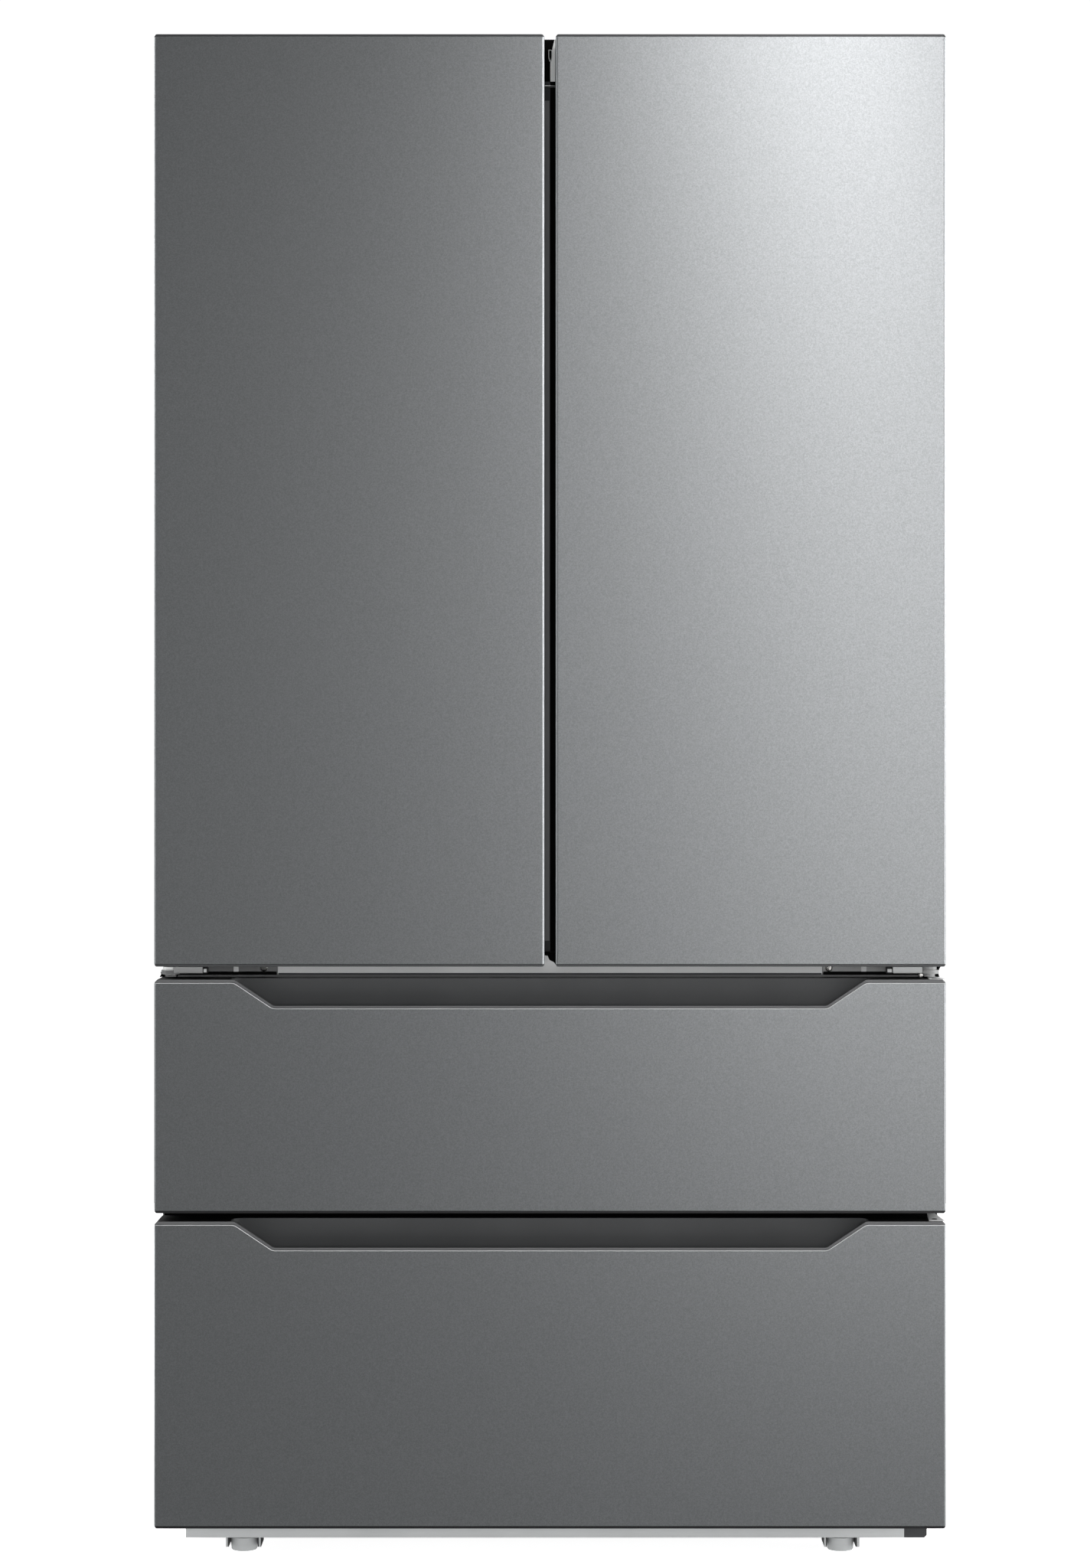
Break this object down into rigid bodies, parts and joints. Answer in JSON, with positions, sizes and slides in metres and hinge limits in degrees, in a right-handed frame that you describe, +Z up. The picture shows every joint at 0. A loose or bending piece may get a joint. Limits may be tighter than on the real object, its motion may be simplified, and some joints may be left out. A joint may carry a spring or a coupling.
{
  "type": "french door refrigerator",
  "caption": "Stainless french door refrigerator: side-hinged doors above full-width freezer drawers with trapezoid pocket handles, shelves, bins and a folding mullion.",
  "frame": {"origin": "on the floor, under the middle of the bounding box", "axes": "+X to the right seen from the front, +Y towards the back, +Z up; the doors face -Y"},
  "size_m": [0.912, 0.74, 1.782],
  "materials": {
    "stainless": "fine satin stainless sheet",
    "case_paint": "grey painted steel, fine orange peel",
    "dark_plastic": "dark grey moulded plastic",
    "grey_plastic": "grey moulded plastic",
    "light_grey": "light grey moulded plastic",
    "black_plastic": "black moulded plastic",
    "white_liner": "white vacuum-formed plastic",
    "foam": "cream rigid foam",
    "gasket": "soft grey seal",
    "steel_part": "zinc plated steel",
    "black_steel": "black painted steel",
    "glass": "clear tempered glass",
    "clear_plastic": "clear moulded plastic",
    "aluminium_tube": "bare aluminium tube"
  },
  "bodies": {
    "cabinet": {"cabinet_wrapper": "case_paint", "cabinet_foam": "foam", "fresh_food_liner": "white_liner", "freezer_liner": "white_liner", "rear_panel": "case_paint", "machine_cover": "black_steel", "base_frame": "dark_plastic", "toe_grille": "light_grey", "center_rail": "light_grey", "freezer_crossbar": "black_plastic", "flipper_guide": "light_grey", "compressor": "black_steel", "evaporator_coil": "aluminium_tube", "evaporator_cover": "white_liner", "glass_shelf_lower": "glass", "glass_shelf_upper": "glass", "crisper_cover": "glass", "top_hinge_left": "steel_part", "top_hinge_right": "steel_part", "hinge_cover_left": "dark_plastic", "hinge_cover_right": "dark_plastic", "middle_hinge_left": "steel_part", "middle_hinge_right": "steel_part"},
    "left_door": {"left_door_skin": "stainless", "left_door_top_cap": "dark_plastic", "left_door_bottom_cap": "dark_plastic", "left_door_core": "white_liner", "left_door_gasket": "gasket", "left_door_bin_lower": "clear_plastic", "left_door_bin_upper": "clear_plastic"},
    "right_door": {"right_door_skin": "stainless", "right_door_top_cap": "dark_plastic", "right_door_bottom_cap": "dark_plastic", "right_door_core": "white_liner", "right_door_gasket": "gasket", "right_door_bin_lower": "clear_plastic", "right_door_bin_upper": "clear_plastic"},
    "flipper": {"flipper_bar": "dark_plastic"},
    "upper_drawer": {"upper_drawer_skin": "stainless", "upper_drawer_handle": "grey_plastic", "upper_drawer_core": "white_liner", "upper_drawer_gasket": "gasket", "upper_drawer_frame": "steel_part", "upper_drawer_bin": "clear_plastic"},
    "lower_drawer": {"lower_drawer_skin": "stainless", "lower_drawer_handle": "grey_plastic", "lower_drawer_core": "white_liner", "lower_drawer_gasket": "gasket", "lower_drawer_frame": "steel_part", "lower_drawer_bin": "clear_plastic"},
    "upper_slides": {"upper_slide_left": "steel_part", "upper_slide_right": "steel_part"},
    "lower_slides": {"lower_slide_left": "steel_part", "lower_slide_right": "steel_part"},
    "left_crisper": {"left_crisper": "clear_plastic"},
    "right_crisper": {"right_crisper": "clear_plastic"},
    "left_foot": {"left_leveling_foot": "light_grey"},
    "right_foot": {"right_leveling_foot": "light_grey"},
    "left_roller": {"left_rear_roller": "black_plastic"},
    "right_roller": {"right_rear_roller": "black_plastic"}
  },
  "joints": [
    {"name": "left_door_hinge", "type": "hinge", "parent": "cabinet", "child": "left_door", "pos_m": [-0.44, -0.338, 0.7], "axis": [0, 0, -1], "range_deg": [0, 135]},
    {"name": "right_door_hinge", "type": "hinge", "parent": "cabinet", "child": "right_door", "pos_m": [0.44, -0.338, 0.7], "axis": [0, 0, 1], "range_deg": [0, 135]},
    {"name": "flipper_fold", "type": "hinge", "parent": "left_door", "child": "flipper", "pos_m": [-0.036, -0.2865, 0.71], "axis": [0, 0, 1], "range_deg": [0, 90]},
    {"name": "upper_drawer_slide", "type": "slide", "parent": "cabinet", "child": "upper_drawer", "axis": [0, -1, 0], "range_m": [0, 0.4]},
    {"name": "upper_slides_travel", "type": "slide", "parent": "cabinet", "child": "upper_slides", "axis": [0, -1, 0], "range_m": [0, 0.2]},
    {"name": "lower_drawer_slide", "type": "slide", "parent": "cabinet", "child": "lower_drawer", "axis": [0, -1, 0], "range_m": [0, 0.4]},
    {"name": "lower_slides_travel", "type": "slide", "parent": "cabinet", "child": "lower_slides", "axis": [0, -1, 0], "range_m": [0, 0.2]},
    {"name": "left_crisper_slide", "type": "slide", "parent": "cabinet", "child": "left_crisper", "axis": [0, -1, 0], "range_m": [0, 0.11]},
    {"name": "right_crisper_slide", "type": "slide", "parent": "cabinet", "child": "right_crisper", "axis": [0, -1, 0], "range_m": [0, 0.11]},
    {"name": "left_foot_turn", "type": "hinge", "parent": "cabinet", "child": "left_foot", "pos_m": [-0.359, -0.286, 0.01], "axis": [0, 0, 1], "continuous": true},
    {"name": "right_foot_turn", "type": "hinge", "parent": "cabinet", "child": "right_foot", "pos_m": [0.341, -0.286, 0.01], "axis": [0, 0, 1], "continuous": true},
    {"name": "left_roller_spin", "type": "hinge", "parent": "cabinet", "child": "left_roller", "pos_m": [-0.35, 0.3, 0.019], "axis": [1, 0, 0], "continuous": true},
    {"name": "right_roller_spin", "type": "hinge", "parent": "cabinet", "child": "right_roller", "pos_m": [0.35, 0.3, 0.019], "axis": [1, 0, 0], "continuous": true}
  ],
  "couplings": [
    {"joint": "flipper_fold", "follows": "left_door_hinge", "ratio": 0.666},
    {"joint": "upper_slides_travel", "follows": "upper_drawer_slide", "ratio": 0.5},
    {"joint": "lower_slides_travel", "follows": "lower_drawer_slide", "ratio": 0.5}
  ]
}
